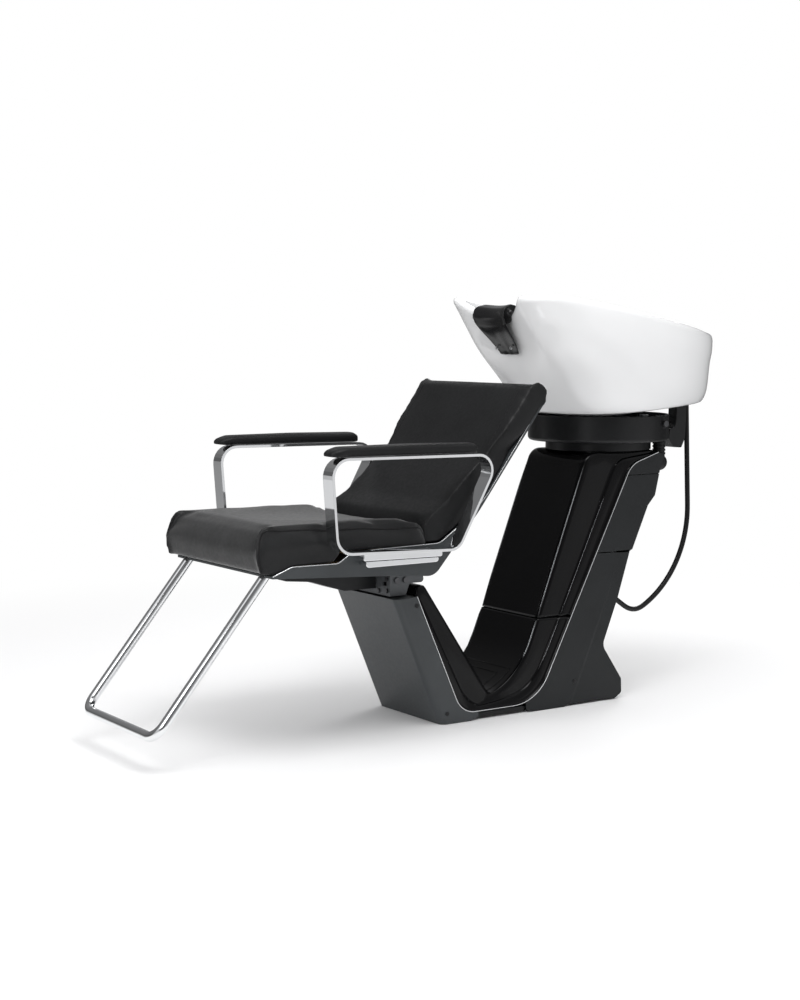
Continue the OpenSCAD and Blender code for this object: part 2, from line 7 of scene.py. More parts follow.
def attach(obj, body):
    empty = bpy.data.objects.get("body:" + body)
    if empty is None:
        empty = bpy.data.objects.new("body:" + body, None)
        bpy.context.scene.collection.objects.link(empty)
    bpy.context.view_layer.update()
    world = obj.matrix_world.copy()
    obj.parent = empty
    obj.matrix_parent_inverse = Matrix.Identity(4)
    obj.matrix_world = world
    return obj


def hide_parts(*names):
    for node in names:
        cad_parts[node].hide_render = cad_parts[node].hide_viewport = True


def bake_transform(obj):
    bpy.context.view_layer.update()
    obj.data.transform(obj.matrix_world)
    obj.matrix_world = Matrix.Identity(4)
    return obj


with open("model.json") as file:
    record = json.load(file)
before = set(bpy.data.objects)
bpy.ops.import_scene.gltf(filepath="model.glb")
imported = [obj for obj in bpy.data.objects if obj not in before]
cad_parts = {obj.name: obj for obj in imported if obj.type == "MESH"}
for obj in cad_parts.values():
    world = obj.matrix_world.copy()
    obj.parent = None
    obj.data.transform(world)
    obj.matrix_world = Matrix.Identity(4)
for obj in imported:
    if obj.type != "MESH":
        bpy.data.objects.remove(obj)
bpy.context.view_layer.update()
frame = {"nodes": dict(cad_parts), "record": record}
COL = bpy.context.scene.collection
MM = 0.001


# ------------------------------------------------------------------ materials
def principled(name):
    m = bpy.data.materials.new(name)
    m.use_nodes = True
    nt = m.node_tree
    b = nt.nodes["Principled BSDF"]
    return m, nt, b


def finish(name, color, rough=0.5, metal=0.0, spec=0.5, coat=0.0, coat_rough=0.05, var=0.12, rvar=0.12, vscale=9.0,
           bumps=(), bevel=0.0, sheen=0.0, wear=0.0, wear_color=None, cells=0.0):
    """One procedural finish: colour and roughness variation, layered bumps, edge rounding and edge wear."""
    m, nt, b = principled(name)
    N, L = nt.nodes, nt.links

    def node(t, **k):
        n = N.new(t)
        for a, v in k.items():
            setattr(n, a, v)
        return n

    co = node("ShaderNodeTexCoord").outputs["Object"]

    def noise(scale, detail=4.0, rough_=0.55, stretch=None):
        src = co
        if stretch:
            mp = node("ShaderNodeMapping")
            mp.inputs["Scale"].default_value = stretch
            L.new(co, mp.inputs["Vector"])
            src = mp.outputs["Vector"]
        n = node("ShaderNodeTexNoise")
        n.inputs["Scale"].default_value = scale
        n.inputs["Detail"].default_value = detail
        n.inputs["Roughness"].default_value = rough_
        L.new(src, n.inputs["Vector"])
        return n.outputs["Fac"]

    def mrange(src, lo, hi, a=0.0, c=1.0):
        r = node("ShaderNodeMapRange")
        r.inputs["From Min"].default_value, r.inputs["From Max"].default_value = lo, hi
        r.inputs["To Min"].default_value, r.inputs["To Max"].default_value = a, c
        L.new(src, r.inputs["Value"])
        return r.outputs["Result"]

    big = noise(vscale)
    mix = node("ShaderNodeMix", data_type="RGBA")
    dark = [c * (1 - var) for c in color]
    lite = [min(1, c * (1 + var)) for c in color]
    mix.inputs["A"].default_value = (*dark, 1)
    mix.inputs["B"].default_value = (*lite, 1)
    L.new(mrange(big, 0.35, 0.65), mix.inputs["Factor"])
    out = mix.outputs["Result"]
    if cells:  # pores or grain darkening between cells
        v = node("ShaderNodeTexVoronoi", feature="DISTANCE_TO_EDGE")
        v.inputs["Scale"].default_value = cells
        L.new(co, v.inputs["Vector"])
        cm = node("ShaderNodeMix", data_type="RGBA", blend_type="MULTIPLY")
        L.new(mrange(v.outputs["Distance"], 0.0, 0.12, 1.0, 0.0), cm.inputs["Factor"])
        L.new(out, cm.inputs["A"])
        cm.inputs["B"].default_value = (0.6, 0.6, 0.6, 1)
        out = cm.outputs["Result"]
    fine = noise(vscale * 14, 3.0)
    L.new(mrange(fine, 0.3, 0.7, max(0.02, rough * (1 - rvar)), min(1, rough * (1 + rvar))), b.inputs["Roughness"])
    normal = None
    if bevel:
        bv = node("ShaderNodeBevel", samples=3)
        bv.inputs["Radius"].default_value = bevel
        normal = bv.outputs["Normal"]
        if wear:
            geo = node("ShaderNodeNewGeometry")
            dot = node("ShaderNodeVectorMath", operation="DOT_PRODUCT")
            L.new(bv.outputs["Normal"], dot.inputs[0])
            L.new(geo.outputs["Normal"], dot.inputs[1])
            edge = mrange(dot.outputs["Value"], 0.80, 0.97, wear, 0.0)
            brk = node("ShaderNodeMath", operation="MULTIPLY")
            L.new(edge, brk.inputs[0])
            L.new(mrange(noise(60, 5), 0.42, 0.62), brk.inputs[1])
            wm = node("ShaderNodeMix", data_type="RGBA")
            L.new(brk.outputs[0], wm.inputs["Factor"])
            L.new(out, wm.inputs["A"])
            wm.inputs["B"].default_value = (*(wear_color or [min(1, c * 2.2 + 0.03) for c in color]), 1)
            out = wm.outputs["Result"]
    L.new(out, b.inputs["Base Color"])
    for kind, scale, strength, dist in bumps:
        if kind == "noise":
            h = noise(scale, 5.0)
        elif kind == "brush":
            h = noise(scale, 3.0, 0.6, (1.0, 0.03, 1.0))
        elif kind == "cells":
            v = node("ShaderNodeTexVoronoi", feature="SMOOTH_F1")
            v.inputs["Scale"].default_value = scale
            v.inputs["Smoothness"].default_value = 0.4
            L.new(co, v.inputs["Vector"])
            h = v.outputs["Distance"]
        else:  # braid
            w = node("ShaderNodeTexWave", wave_type="BANDS", bands_direction="DIAGONAL")
            w.inputs["Scale"].default_value = scale
            w.inputs["Distortion"].default_value = 0.5
            L.new(co, w.inputs["Vector"])
            h = w.outputs["Fac"]
        bp = node("ShaderNodeBump")
        bp.inputs["Strength"].default_value = strength
        bp.inputs["Distance"].default_value = dist
        L.new(h, bp.inputs["Height"])
        if normal is not None:
            L.new(normal, bp.inputs["Normal"])
        normal = bp.outputs["Normal"]
    if normal is not None:
        L.new(normal, b.inputs["Normal"])
    b.inputs["Metallic"].default_value = metal
    b.inputs["Specular IOR Level"].default_value = spec
    b.inputs["Coat Weight"].default_value = coat
    b.inputs["Coat Roughness"].default_value = coat_rough
    b.inputs["Sheen Weight"].default_value = sheen
    b.inputs["Sheen Roughness"].default_value = 0.4
    return m


GRAIN = (("cells", 620, 0.35, 0.0006), ("noise", 160, 0.18, 0.0008), ("noise", 26, 0.16, 0.003))
M = {
    "leather": finish("leather", (.0105, .0108, .0114), .44, spec=.24, var=.14, rvar=.16, bumps=GRAIN, sheen=.02, cells=620),
    # the seat's copy of the leather: base colour painted a little lighter than the back's and sheen raised, standing in
    # for the light the seat top catches
    "leather_seat_painted_lighter": finish("leather_seat_painted_lighter", (.0115, .0118, .0125), .44, spec=.24, var=.14, rvar=.16, bumps=GRAIN, sheen=.26, cells=620),
    "leather_dark": finish("leather_seam", (.007, .007, .0075), .5, spec=.25, bumps=(("noise", 300, .3, .0005),)),
    "panel_side": finish("panel_side", (.0138, .0151, .0161), .40, spec=.24, var=.08, bumps=(("noise", 800, .07, .0002), ("noise", 12, .05, .002)), bevel=.002, wear=.35),
    "bolt_dark": finish("bolt_dark", (.10, .10, .105), .32, metal=.8, bumps=(("noise", 420, .15, .0002),), bevel=.0006),
    # grey metallic for the beads on the black shell's edges: a painted highlight standing in for the light those edges
    # catch
    "shell_edge_painted_highlight": finish("shell_edge_painted_highlight", (.30, .31, .32), .16, spec=.6, metal=.7, coat=.5, var=.1, bumps=(("noise", 30, .03, .001),)),
    "frame_steel": finish("frame_steel", (.035, .036, .038), .45, bumps=(("noise", 700, .12, .0003),), bevel=.0012, wear=.5),
    "black_plastic": finish("black_plastic", (.0085, .0088, .0095), .34, spec=.30, bumps=(("noise", 900, .10, .0002),), bevel=.0015, wear=.35),
    "grey_panel": finish("grey_panel", (.040, .0445, .0475), .38, spec=.42, var=.08, bumps=(("noise", 800, .07, .0002), ("noise", 12, .05, .002)), bevel=.002, wear=.4),
    "gloss_shell": finish("gloss_shell", (.0030, .0030, .0033), .08, spec=.15, coat=.07, coat_rough=.03, var=.1, bumps=(("noise", 9, .03, .002),)),
    "gloss_black": finish("gloss_black", (.0030, .0030, .0033), .08, spec=.15, coat=.07, coat_rough=.03, var=.1, bumps=(("noise", 9, .03, .002),), bevel=.0015),
    "bright_trim": finish("bright_trim", (.78, .79, .80), .22, metal=1, bumps=(("brush", 900, .06, .0002),)),
    "zinc": finish("zinc", (.55, .56, .57), .34, metal=1, bumps=(("noise", 420, .15, .0002),), bevel=.0006),
    "waste_plastic": finish("waste_plastic", (.22, .23, .24), .5, bumps=(("noise", 300, .15, .0004),)),
    "hose_rubber": finish("hose_rubber", (.009, .009, .0095), .34, spec=.3, bumps=(("noise", 500, .14, .0003),)),
    "braided_steel": finish("braided_steel", (.5, .51, .52), .35, metal=1, bumps=(("braid", 500, .9, .0008),)),
    "bracket_grey": finish("bracket_grey", (.085, .09, .095), .4, metal=.35, bumps=(("noise", 500, .14, .0003),), bevel=.001, wear=.5),
    "beam_black": finish("beam_black", (.011, .0115, .0125), .38, spec=.32, bumps=(("noise", 700, .12, .0003),), bevel=.0012, wear=.4),
    "rail_steel": finish("rail_steel", (.6, .61, .62), .28, metal=1, bumps=(("brush", 700, .2, .0002),), bevel=.0005),
    "plywood": finish("plywood", (.42, .29, .16), .6, var=.2, bumps=(("brush", 260, .35, .0006),)),
    "chrome": finish("chrome", (.86, .87, .88), .045, metal=1, var=.02, rvar=.4, bumps=(("noise", 30, .012, .001),), bevel=.0008),
    "ceramic": finish("ceramic", (.785, .788, .795), .11, spec=.5, coat=.4, coat_rough=.04, var=.012, rvar=.2, vscale=4, bumps=(("noise", 14, .03, .002), ("noise", 240, .012, .0003))),
    "neck_gel": finish("neck_gel", (.009, .009, .0095), .2, spec=.5, bumps=(("noise", 60, .06, .001),)),
    "nylon": finish("nylon", (.7, .69, .64), .45, bumps=(("noise", 300, .1, .0003),)),
    "shower_black": finish("shower_black", (.012, .012, .0125), .15, coat=.4, bumps=(("noise", 60, .03, .001),), bevel=.0015),
}
for row in frame["record"]["subparts"]:
    o = frame["nodes"][row["node"]]
    o.data.materials.clear()
    o.data.materials.append(M[row["material_slot"]])
for name, mat in (("upper_panel_left", "panel_side"), ("upper_panel_right", "panel_side"), ("head_panel_left", "panel_side"), ("head_panel_right", "panel_side"),
                  ("rear_cover", "panel_side"), ("pivot_bolts", "bolt_dark"), ("bracket_bolts", "bolt_dark"), ("neck_rest_studs", "zinc")):
    if name in frame["nodes"]:
        frame["nodes"][name].data.materials[0] = M[mat]


# ------------------------------------------------------------------ mesh helpers
def add(name, verts, faces, body, mat, smooth=True, replaces=(), sharp=None, mods=()):
    me = bpy.data.meshes.new(name)
    me.from_pydata([tuple(v) for v in verts], [], [tuple(f) for f in faces])
    bm = bmesh.new()
    bm.from_mesh(me)
    bmesh.ops.recalc_face_normals(bm, faces=bm.faces)
    bm.to_mesh(me)
    bm.free()
    me.polygons.foreach_set("use_smooth", [smooth] * len(me.polygons))
    if sharp:
        me.set_sharp_from_angle(angle=math.radians(sharp))
    me.materials.append(M[mat])
    o = bpy.data.objects.new(name, me)
    COL.objects.link(o)
    for kind, kw in mods:
        md = o.modifiers.new(kind.lower(), kind)
        for k, v in kw.items():
            setattr(md, k, v)
    if body:
        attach(o, body)
    if replaces:
        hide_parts(*replaces)
    return o


def unit(v):
    return v / (np.linalg.norm(v) + 1e-12)


def corner(a, b, c, r, n):
    a, b, c = (np.array(p[:2], float) for p in (a, b, c))
    if r <= 0:
        return [b]
    u, w = unit(a - b), unit(c - b)
    h = math.acos(max(-1, min(1, float(u @ w)))) / 2
    t, m = r / math.tan(h), b + unit(u + w) * (r / math.sin(h))
    s, e = b + u * t, b + w * t
    a0, a1 = math.atan2(*(s - m)[::-1]), math.atan2(*(e - m)[::-1])
    d = (a1 - a0 + math.pi) % (2 * math.pi) - math.pi
    return [m + r * np.array([math.cos(a0 + d * k / n), math.sin(a0 + d * k / n)]) for k in range(n + 1)]


def line(p, n=8):
    out = [np.array(p[0][:2], float)]
    for i in range(1, len(p) - 1):
        out += corner(p[i - 1], p[i], p[i + 1], p[i][2], n)
    return np.array(out + [np.array(p[-1][:2], float)])


def loop(p, n=6):
    out = []
    for i in range(len(p)):
        out += corner(p[i - 1], p[i], p[(i + 1) % len(p)], p[i][2], n)
    return np.array(out)


def resample(p, n, closed=False):
    p = np.array(p, float)
    if closed:
        p = np.vstack([p, p[:1]])
    d = np.r_[0, np.cumsum(np.linalg.norm(np.diff(p, axis=0), axis=1))]
    t = np.linspace(0, d[-1], n + 1)[:-1] if closed else np.linspace(0, d[-1], n)
    return np.stack([np.interp(t, d, p[:, k]) for k in range(p.shape[1])], 1)


def inset(p, d):
    """Closed outline (anticlockwise) moved inwards by d."""
    a, c = np.roll(p, 1, 0), np.roll(p, -1, 0)
    t = c - a
    t /= np.linalg.norm(t, axis=1)[:, None] + 1e-12
    return p + d * np.stack([-t[:, 1], t[:, 0]], 1)


def tube(name, pts, r, body, mat, closed=False, seg=10, replaces=(), radii=None):
    """A round bead, piping or hose along 3-D points in metres."""
    p = np.array(pts, float)
    n = len(p)
    t = (np.roll(p, -1, 0) - np.roll(p, 1, 0)) if closed else np.gradient(p, axis=0)
    t /= np.linalg.norm(t, axis=1)[:, None] + 1e-12
    up = np.array([0, 0, 1.0]) if abs(t[0][2]) < .9 else np.array([1.0, 0, 0])
    nrm = unit(up - t[0] * (up @ t[0]))
    verts = []
    for i in range(n):
        nrm = unit(nrm - t[i] * (nrm @ t[i]))
        bi = np.cross(t[i], nrm)
        ri = r if radii is None else radii[i]
        for k in range(seg):
            a = 2 * math.pi * k / seg
            verts.append(p[i] + ri * (math.cos(a) * nrm + math.sin(a) * bi))
    faces = [(i * seg + k, i * seg + (k + 1) % seg, ((i + 1) % n) * seg + (k + 1) % seg, ((i + 1) % n) * seg + k)
             for i in range(n if closed else n - 1) for k in range(seg)]
    if not closed:
        faces += [tuple(range(seg))[::-1], tuple((n - 1) * seg + k for k in range(seg))]
    return add(name, verts, faces, body, mat, replaces=replaces)


def loft(rings, cap=True, close=False):
    n, k = len(rings), len(rings[0])
    verts = [v for r in rings for v in r]
    faces = [(i * k + j, i * k + (j + 1) % k, ((i + 1) % n) * k + (j + 1) % k, ((i + 1) % n) * k + j)
             for i in range(n if close else n - 1) for j in range(k)]
    if cap and not close:
        faces += [tuple(range(k))[::-1], tuple((n - 1) * k + j for j in range(k))]
    return verts, faces


def smooth01(t):
    t = np.clip(t, 0, 1)
    return t * t * (3 - 2 * t)


# ------------------------------------------------------------------ cushions
def pad_rings(profile, half, r=16.0, n=15, shrink=0.0):
    """Profile in Y,Z swept over X with its side edges rounded."""
    hw = half if callable(half) else (lambda p: np.full(len(p), float(half)))
    prof = resample(profile, 180, True)
    rings = []
    xs = [(-1, a) for a in np.linspace(90, 0, 7)] + [(f, None) for f in np.linspace(-1, 1, n)[1:-1]] + [(1, a) for a in np.linspace(0, 90, 7)]
    for f, a in xs:
        if a is None:
            q = inset(prof, shrink)
            w = hw(q) - shrink
            x = (w - r) * f
        else:
            c, s = math.cos(math.radians(a)), math.sin(math.radians(a))
            q = inset(prof, shrink + r * (1 - c))
            w = hw(q) - shrink
            x = f * (w - r + r * s)
        rings.append(np.stack([x, q[:, 0], q[:, 1]], 1) * MM)
    return rings


def soften(name, rings, body, pin, cap, keep, replaces, seed_frames=20, voxel=.006, pressure=4.0, warp=None, rounds=4):
    """A closed pad, remeshed, swollen with cloth under pressure, capped, then smoothed."""
    v, f = loft(rings)
    o = add(name, v, f, None, "leather")
    md = o.modifiers.new("rm", "REMESH")
    md.mode, md.voxel_size, md.use_smooth_shade = "VOXEL", voxel, True
    dg = bpy.context.evaluated_depsgraph_get()
    me = bpy.data.meshes.new_from_object(o.evaluated_get(dg))
    o.modifiers.clear()
    o.data = me
    start = np.array([x.co for x in me.vertices], float)
    if warp:
        start[:, 0] *= warp(start)
        me.vertices.foreach_set("co", start.ravel())
        me.update()
    g = o.vertex_groups.new(name="pin")
    w = pin(start)
    for i in np.nonzero(w > 0.01)[0]:
        g.add([int(i)], float(w[i]), "REPLACE")
    cl = o.modifiers.new("cloth", "CLOTH")
    s = cl.settings
    s.quality, s.mass = 6, .35
    s.tension_stiffness = s.compression_stiffness = 22
    s.shear_stiffness, s.bending_stiffness = 12, 1.2
    s.use_pressure, s.uniform_pressure_force = True, pressure
    s.vertex_group_mass = "pin"
    s.effector_weights.gravity = 0
    cl.point_cache.frame_start, cl.point_cache.frame_end = 1, seed_frames
    for fr in range(1, seed_frames + 1):
        bpy.context.scene.frame_set(fr)
    dg = bpy.context.evaluated_depsgraph_get()
    ev = o.evaluated_get(dg).to_mesh()
    end = np.array([x.co for x in ev.vertices], float)
    o.evaluated_get(dg).to_mesh_clear()
    o.modifiers.clear()
    o.vertex_groups.clear()
    bpy.context.scene.frame_set(1)
    d = end - start
    ln = np.linalg.norm(d, axis=1)
    d *= np.minimum(1, cap / np.maximum(ln, 1e-9))[:, None]
    start = start + d
    start = keep(start)
    me.vertices.foreach_set("co", start.ravel())
    me.update()
    bm = bmesh.new()
    bm.from_mesh(me)
    for _ in range(rounds):
        bmesh.ops.smooth_vert(bm, verts=bm.verts, factor=.5, use_axis_x=True, use_axis_y=True, use_axis_z=True)
    bm.to_mesh(me)
    bm.free()
    me.materials.clear()
    # seat pads take the leather copy painted lighter for the light on the seat top
    me.materials.append(M["leather_seat_painted_lighter" if "seat" in name else "leather"])
    me.polygons.foreach_set("use_smooth", [True] * len(me.polygons))
    sb = o.modifiers.new("sub", "SUBSURF")
    sb.levels = sb.render_levels = 1
    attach(o, body)
    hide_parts(replaces)
    return o


def drop_on(o, pts, out, lift=-.0002):
    """Points (mm) carried straight onto the face of a pad that looks along out."""
    me = o.data
    bvh = BVHTree.FromPolygons([v.co for v in me.vertices], [p.vertices for p in me.polygons])
    n = Vector(out).normalized()
    q = []
    for p in pts:
        start = Vector(p) * MM + n * .08
        loc = bvh.ray_cast(start, -n, .16)[0]
        if loc is not None:
            q.append(np.array(loc + n * lift))
    q = np.array(q)
    for _ in range(4 if len(q) > 2 else 0):
        q[1:-1] = (q[:-2] + 2 * q[1:-1] + q[2:]) / 4
    return q


seat_x = 222.0
SEAT = loop([(-517, 403, 6), (-530, 450, 60), (-526, 499, 20), (-108, 479, 10), (-106, 443.5, 4), (-300, 440.5, 14), (-337, 417, 14), (-452, 418.5, 14), (-500, 403, 0)], 6)


def seat_keep(p):
    x, y, z = p[:, 0], p[:, 1], p[:, 2]
    top = smooth01((z - .462) / .02)
    dish = (1 - np.clip(np.abs(x) / .205, 0, 1) ** 2.4) * smooth01((y + .525) / .07)
    q = p.copy()
    q[:, 2] -= .013 * dish * top
    # gathers fanning from the rear corners and the front edge
    q[:, 2] += top * .0010 * np.sin(x * 95 + 2 * np.sin(y * 18)) * np.exp(-((y + .11) / .05) ** 2)
    q[:, 1] += .00022 * np.sin(x * 62) * smooth01((-.50 - y) / .02)
    q[:, 0] = np.clip(q[:, 0], -.2265, .2265)
    q[:, 1] = np.clip(q[:, 1], -.534, -.1025)
    floor = np.where(y < -.447, .4015, np.where(y < -.335, .4165, .4395))
    q[:, 2] = np.clip(q[:, 2], floor, .5025)
    return q


seat = soften("seat_cushion_soft", pad_rings(SEAT, seat_x, 15, 13, shrink=4.0), "chair",
              lambda p: smooth01((.452 - p[:, 2]) / .012), .016, seat_keep, "seat_cushion", rounds=6)
for s, side in ((1, "left"), (-1, "right")):
    edge = [(-517, 412, -.72, -.1), (-526, 440, -.72, 0), (-526, 478, -.68, .15), (-519, 494, -.5, .5), (-500, 497, -.1, .7), (-400, 491, 0, .72), (-300, 486, 0, .72), (-200, 481, 0, .72), (-120, 477, 0, .72)]
    e = resample(np.array(edge) * np.array([1, 1, 100, 100]), 110)
    welt = []
    for y, z, dy, dz in e:
        welt += list(drop_on(seat, [(s * 212, y, z)], (s * .7, dy / 100, dz / 100), lift=.0003))
    welt = np.array(welt)
    for _ in range(8):
        welt[1:-1] = (welt[:-2] + 2 * welt[1:-1] + welt[2:]) / 4
    tube("seat_welt_" + side, welt, .0016, "chair", "leather_dark", seg=8)

BACK = loop([(-102, 484, 8), (-40, 524, 60), (80, 634, 150), (198, 800, 14), (228, 786, 10), (219, 756, 6), (61, 547, 200), (10, 498, 60), (-62, 445, 4), (-100, 446, 4)], 6)
R_DIR = unit(np.array([118.0, 166.0]))


def back_warp(p):
    return (221 + 15 * smooth01((p[:, 2] * 1000 - 640) / 60)) / 221


def back_keep(p):
    x, y, z = p[:, 0], p[:, 1], p[:, 2]
    q = p.copy()
    # distance in front of the line of the shell behind the cushion
    d = (z - .547) * 0.7983 - (y - .061) * 0.6022
    front = smooth01((d - .022) / .012)
    # sewn channel near each side edge
    g = np.exp(-((np.abs(x) - .197) / .0045) ** 2) * smooth01((z - .585) / .03) * smooth01((.790 - z) / .02)
    q[:, 1] += front * g * .0022
    q[:, 2] -= front * g * .0016
    # fine folds where the lumbar turns into the seat
    f = np.exp(-((z - .545) / .03) ** 2) * np.exp(-((np.abs(x) - .19) / .05) ** 2)
    q[:, 1] -= .0012 * f * np.sin((z * 140) + x * 60)
    q[:, 0] = np.clip(q[:, 0], -.240, .240)
    # stay clear of the shell behind it
    top = np.interp(y * 1000, [-70, 12, 63, 217, 260], [441, 495, 545, 748, 805]) * MM + .0016
    q[:, 2] = np.where(y < .219, np.maximum(q[:, 2], top), q[:, 2])
    q[:, 2] = np.clip(q[:, 2], .4435, .803)
    return q


back = soften("back_cushion_soft", pad_rings(BACK, 221, 13, 13, shrink=3.0), "chair",
              lambda p: smooth01((.018 - ((p[:, 2] - .547) * 0.7983 - (p[:, 1] - .061) * 0.6022)) / .008), .0075, back_keep, "back_cushion", warp=back_warp, rounds=9)
for s, side in ((1, "left"), (-1, "right")):
    ch = drop_on(back, [(s * 197, y, z) for y, z in resample([(86, 645), (120, 692), (188, 787)], 70)], (0, -.815, .579))
    tube("back_channel_" + side, ch, .0009, "chair", "leather_dark", seg=8)


# ------------------------------------------------------------------ arm pads
def arm_pad(s, side):
    xc = s * 250.5
    prof = loop([(-366, 646.2, 4), (2, 642, 4), (4, 658, 8), (-12, 667, 8), (-350, 670, 10), (-384, 657, 8), (-382, 647, 3)], 4)
    rings = []
    ys = np.r_[np.linspace(-383, -350, 8), np.linspace(-335, -30, 16), np.linspace(-18, 3.5, 7)]
    for y in ys:
        w = 28 * (1 - max(0, (-352 - y) / 32) ** 2.4 * .55) * (1 - max(0, (y + 14) / 18) ** 2.2 * .5)
        lo = np.interp(y, [-384, -366, 2, 4], [649, 646.4, 642.3, 645])
        hi = np.interp(y, [-384, -376, -350, -180, -12, 0, 4], [655, 662, 669.5, 670, 667, 661, 655]) - 0.5
        ring = []
        for k in range(28):
            a = 2 * math.pi * k / 28
            c, sn = math.cos(a), math.sin(a)
            x = w * math.copysign(abs(c) ** .55, c)
            zz = (lo + hi) / 2 + (hi - lo) / 2 * math.copysign(abs(sn) ** (.72 if sn > 0 else .4), sn)
            ring.append(((xc + x) * MM, y * MM, zz * MM))
        rings.append(ring)
    v, f = loft(rings)
    o = add("arm_pad_soft_" + side, v, f, "chair", "leather", replaces=("arm_pad_" + side,), mods=(("SUBSURF", dict(levels=1, render_levels=1)),))
    path = [(xc + sx * 28.0, y, 650.5 - (y + 380) * .011) for sx, seq in ((1, np.linspace(-345, -20, 30)), (-1, np.linspace(-20, -345, 30))) for y in seq]
    tube("arm_pad_seam_" + side, np.array(path) * MM, .0008, "chair", "leather_dark", closed=True, seg=6)


arm_pad(1, "left")
arm_pad(-1, "right")


# ------------------------------------------------------------------ arm brackets: upper rail, shadow gap, lower lip with rounded corners
def prism(name, outline, x0, x1, body, mat, replaces=(), width=.0012):
    n = len(outline)
    v = [(x * MM, y * MM, z * MM) for x in (x0, x1) for y, z in outline]
    f = [tuple(range(n)), tuple(range(2 * n - 1, n - 1, -1))] + [(i, (i + 1) % n, n + (i + 1) % n, n + i) for i in range(n)]
    return add(name, v, f, body, mat, replaces=replaces, sharp=40, mods=(("BEVEL", dict(width=width, segments=3, limit_method="ANGLE", angle_limit=math.radians(50))),))


for s, side in ((1, "left"), (-1, "right")):
    up = loop([(-292, 418.6, 5), (-84, 415.4, 5), (-84, 427.0, 3), (-292, 433.6, 7)], 5)
    lo = loop([(-284, 403.2, 9), (-92, 403.2, 8), (-92, 413.9, 2), (-284, 416.6, 2)], 5)
    prism("arm_bracket_rail_" + side, up, s * 222.6, s * 254, "chair", "chrome", ("arm_bracket_" + side,))
    prism("arm_bracket_lip_" + side, lo, s * 222.6, s * 251.2, "chair", "chrome")
    prism("arm_bracket_core_" + side, [(-280, 410), (-96, 410), (-96, 421), (-280, 424)], s * 223, s * 249, "chair", "black_plastic", width=.0004)


# ------------------------------------------------------------------ basin
def sgn(v):
    return np.where(v < 0, -1.0, 1.0)


def scoop(x):
    return np.where(np.abs(x) < 127, 1 - (x / 127) ** 2, 0.0)


def rim_z(x, y):
    return 998 - .19 * (np.sqrt(np.maximum(y - 270, 0) ** 2 + 900) - 30) + 6 * smooth01((y - 740) / 90) - np.where(y < 330, 53 * scoop(x), 0)


NBV = 128
A = 250.0


def ring(a, f, r, n, zf, zr, sc=0, drop=-1, run=0):
    t = np.linspace(0, 2 * math.pi, NBV, endpoint=False)
    c, s = np.cos(t), np.sin(t)
    x = a * sgn(s) * np.abs(s) ** (2 / n)
    m = (f + r) / 2
    my = m if a < 60 else 260 + m / 2
    y = my + np.where(c < 0, my - f, r - my) * sgn(c) * np.abs(c) ** (2 / n) + np.where(c < 0, sc * scoop(x), 0)
    w = smooth01((y - f) / (run if run > 0 else r - f))
    z = rim_z(x * 250 / a, y) - drop if drop >= 0 else zf + (zr - zf) * w
    return np.stack([x, y, z], 1)


OUT = [ring(A - 9, 200, 847, 2.6, 0, 0, 73, 0), ring(A - 2, 192, 855, 2.6, 0, 0, 73, 4), ring(A, 194, 857, 2.6, 0, 0, 72, 14),
       ring(A - 1, 216, 855, 2.6, 0, 0, 64, 45), ring(A - 9, 268, 850, 2.6, 872, 830, 32), ring(A - 24, 340, 852, 2.5, 790, 765),
       ring(A - 42, 388, 846, 2.4, 722, 736), ring(A - 52, 398, 838, 2.3, 711, 733)]
INN = [ring(A - 64, 404, 826, 2.3, 712, 735), ring(A - 33, 402, 838, 2.5, 719, 826, run=120), ring(A - 37, 404, 756, 2.3, 720, 817, run=120),
       ring(188, 408, 736, 2.2, 716, 756, run=120), ring(158, 416, 731, 2, 711, 730), ring(144, 432, 714, 2, 700, 722),
       ring(31, 544, 606, 2, 700, 704), ring(31, 544, 606, 2, 722, 722), ring(114, 466, 684, 2, 728, 736), ring(178, 388, 716, 2.2, 758, 772),
       ring(214, 334, 732, 2.3, 818, 822), ring(230, 280, 748, 2.4, 880, 846, 30), ring(235, 226, 838, 2.6, 915, 846.5, 62),
       ring(A - 14, 208, 843, 2.6, 0, 0, 73, 12), ring(A - 13, 206, 844, 2.6, 0, 0, 73, 3)]


def between(r0, r1, r2, r3, t):
    return .5 * ((2 * r1) + (-r0 + r2) * t + (2 * r0 - 5 * r1 + 4 * r2 - r3) * t * t + (-r0 + 3 * r1 - 3 * r2 + r3) * t ** 3)


dense = []
for i in range(len(OUT)):
    dense.append(OUT[i])
    if 2 <= i <= 5:
        for t in (.2, .4, .6, .8):
            dense.append(between(OUT[i - 1], OUT[i], OUT[i + 1], OUT[min(i + 2, 7)], t))
# the wing: below a crease that sweeps down towards the rear, the wall is hollowed
CREASE_Y = [134, 203, 279, 363, 426, 472, 500, 560]
CREASE_Z = [966, 958, 944, 921, 890, 859, 836, 790]


def wing(r):
    x, y, z = r[:, 0], r[:, 1], r[:, 2]
    zc = np.interp(y, CREASE_Y, CREASE_Z)
    below = (zc - z) / 44
    d = smooth01(below) * smooth01((590 - y) / 190) * smooth01((z - 716) / 70) * smooth01((np.abs(x) - 120) / 60)
    ridge = np.exp(-((y - (330 + (900 - z) * .62)) / 46) ** 2) * smooth01((905 - z) / 70) * smooth01((z - 716) / 40) * smooth01((np.abs(x) - 150) / 50)
    q = r.copy()
    q[:, 0] -= np.sign(x) * (7.0 * d - 3.0 * ridge * d)
    return q


dense = [wing(r) if k >= 3 else r for k, r in enumerate(dense)]
v, f = loft([r * MM for r in dense + INN], close=True)
basin = add("basin_glazed", v, f, "basin_unit", "ceramic", replaces=("basin",), mods=(("SUBSURF", dict(levels=1, render_levels=1)),))


